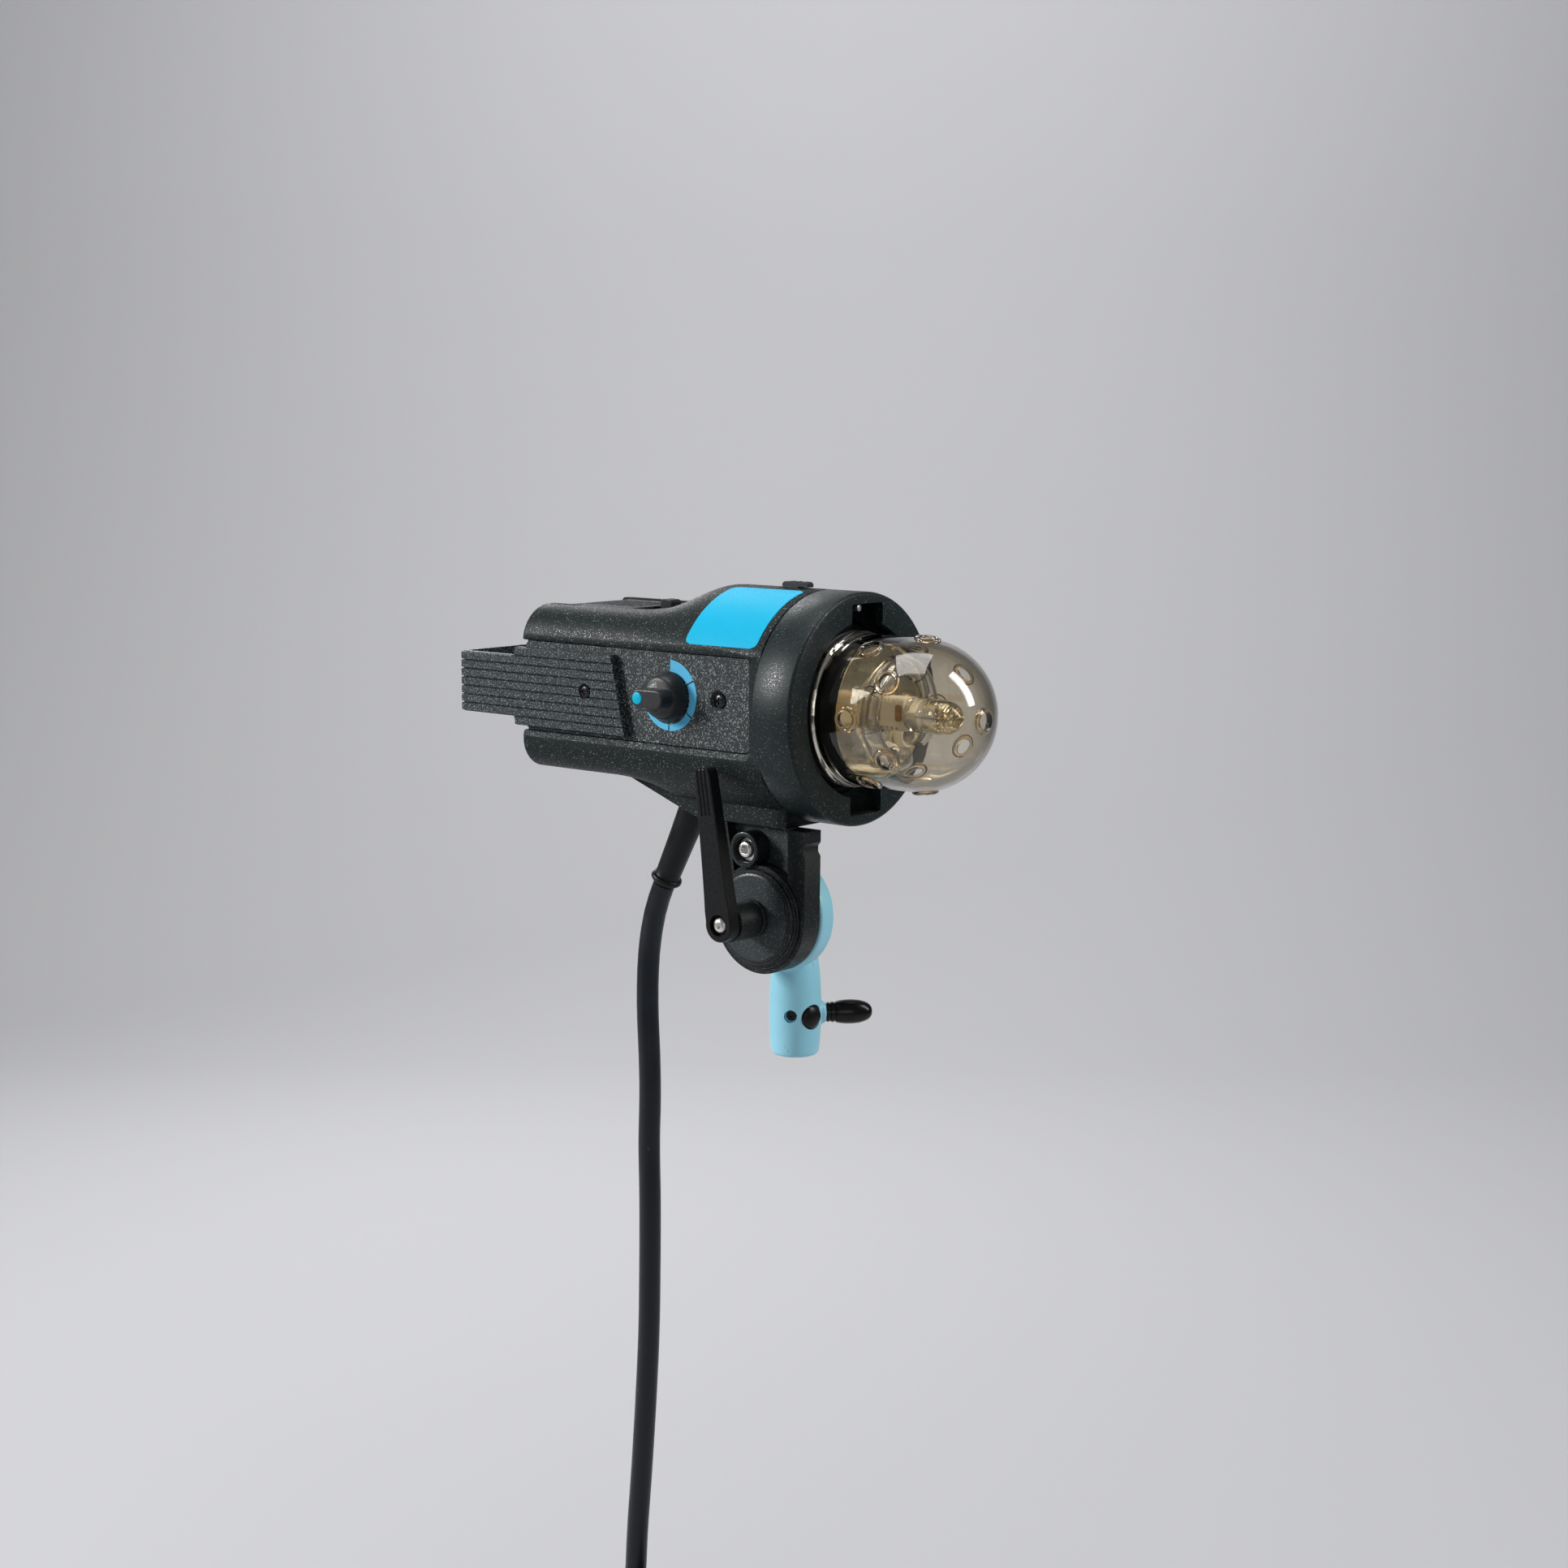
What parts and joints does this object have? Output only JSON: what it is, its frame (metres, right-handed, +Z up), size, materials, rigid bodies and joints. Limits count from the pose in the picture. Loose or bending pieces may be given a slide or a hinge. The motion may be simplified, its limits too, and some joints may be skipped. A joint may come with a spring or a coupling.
{
  "type": "studio flash head",
  "caption": "Studio flash lamp head with glass dome, ribbed rear hand strap, power knob, tilt bracket with clamp lever, blue stand receiver and a heavy lamp cable ending in a plug.",
  "frame": {"origin": "centre of the stand receiver's socket mouth, on its bottom face", "axes": "+Z up along the socket, +X the way the lamp points, the clamp lever is on the -Y side"},
  "size_m": [0.3434, 0.1372, 0.8007],
  "materials": {
    "accent_blue": "satin",
    "black_plastic": "satin",
    "board_green": "satin",
    "bracket_black": "satin",
    "brass": "satin",
    "cable_rubber": "satin",
    "ceramic": "matte",
    "clear_glass": "polished",
    "housing_black": "textured",
    "panel_grey": "textured",
    "plate_metal": "polished",
    "receiver_blue": "satin",
    "screw_black": "blackened",
    "screw_silver": "polished",
    "smoked_glass": "polished",
    "steel": "satin",
    "strap_grey": "textured",
    "tie_fabric": "woven"
  },
  "bodies": {
    "stand_receiver": {"stand_receiver": "receiver_blue", "receiver_set_screw": "screw_silver", "pivot_bolt": "steel", "friction_washer": "brass", "button_spring": "steel", "lamp_cable": "cable_rubber", "cable_coil": "cable_rubber", "coil_tie": "tie_fabric", "cable_tail": "cable_rubber", "lamp_plug": "black_plastic"},
    "plug_lock_ring": {"plug_ring": "steel"},
    "clamp_handle": {"clamp_handle": "black_plastic", "clamp_screw": "steel"},
    "safety_button": {"safety_button": "black_plastic"},
    "head": {"bracket_screw": "screw_silver", "dome_clip_1": "steel", "dome_clip_2": "steel", "dome_clip_3": "steel", "fan_frame": "black_plastic", "flash_tube": "clear_glass", "front_collar": "housing_black", "glass_dome": "smoked_glass", "handle_strap": "strap_grey", "heat_shield": "steel", "housing_body": "housing_black", "lamp_base": "black_plastic", "lamp_socket": "ceramic", "modelling_lamp": "clear_glass", "panel_screw_far": "screw_black", "panel_screw_near": "screw_black", "potentiometer": "steel", "rear_cover": "housing_black", "reflector_plate": "plate_metal", "side_panel_far": "panel_grey", "side_panel_near": "panel_grey", "strain_relief": "cable_rubber", "strap_screw_far": "screw_black", "strap_screw_near": "screw_black", "terminal_block": "ceramic", "tilt_arm": "bracket_black", "top_vent_cover": "housing_black", "trigger_board": "board_green", "trigger_transformer": "black_plastic", "trigger_wire": "steel", "tube_socket_a": "ceramic", "tube_socket_b": "ceramic"},
    "clamp_lever": {"clamp_lever": "black_plastic", "lever_hub": "bracket_black", "lever_screw": "screw_silver"},
    "power_knob": {"control_knob": "black_plastic", "knob_dot": "accent_blue", "knob_shaft": "steel"},
    "lock_latch": {"release_latch": "black_plastic", "lock_pin": "steel"},
    "roof_switch": {"top_switch": "black_plastic"},
    "fan": {"fan_rotor": "black_plastic"}
  },
  "joints": [
    {"name": "head_tilt", "type": "hinge", "parent": "stand_receiver", "child": "head", "pos_m": [0, 0, 0.0845], "axis": [0, 1, 0], "range_deg": [-60, 75], "deforming": ["lamp_cable"]},
    {"name": "clamp_lever_turn", "type": "hinge", "parent": "head", "child": "clamp_lever", "pos_m": [0, 0, 0.0845], "axis": [0, 1, 0], "range_deg": [-50, 50]},
    {"name": "power_knob_turn", "type": "hinge", "parent": "head", "child": "power_knob", "pos_m": [-0.0495, -0.0525, 0.2065], "axis": [0, -1, 0], "range_deg": [0, 270]},
    {"name": "lock_latch_slide", "type": "slide", "parent": "head", "child": "lock_latch", "axis": [-1, 0, 0], "range_m": [0, 0.004], "stiffness_N_per_m": 300, "springref_m": -0.003},
    {"name": "roof_switch_slide", "type": "slide", "parent": "head", "child": "roof_switch", "axis": [1, 0, 0], "range_m": [0, 0.003]},
    {"name": "fan_spin", "type": "hinge", "parent": "head", "child": "fan", "pos_m": [-0.135, 0, 0.204], "axis": [1, 0, 0], "continuous": true},
    {"name": "clamp_handle_turn", "type": "hinge", "parent": "stand_receiver", "child": "clamp_handle", "pos_m": [0.01225, 0.01291, 0.0235], "axis": [0.6884, 0.7254, 0], "continuous": true},
    {"name": "safety_button_press", "type": "slide", "parent": "stand_receiver", "child": "safety_button", "axis": [-0.9903, 0.1392, 0], "range_m": [0, 0.0015], "stiffness_N_per_m": 400, "springref_m": -0.002, "deforming": ["button_spring"]},
    {"name": "plug_ring_turn", "type": "hinge", "parent": "stand_receiver", "child": "plug_lock_ring", "pos_m": [-0.157, -0.036, -0.461], "axis": [0, 0, -1], "range_deg": [0, 90]}
  ]
}
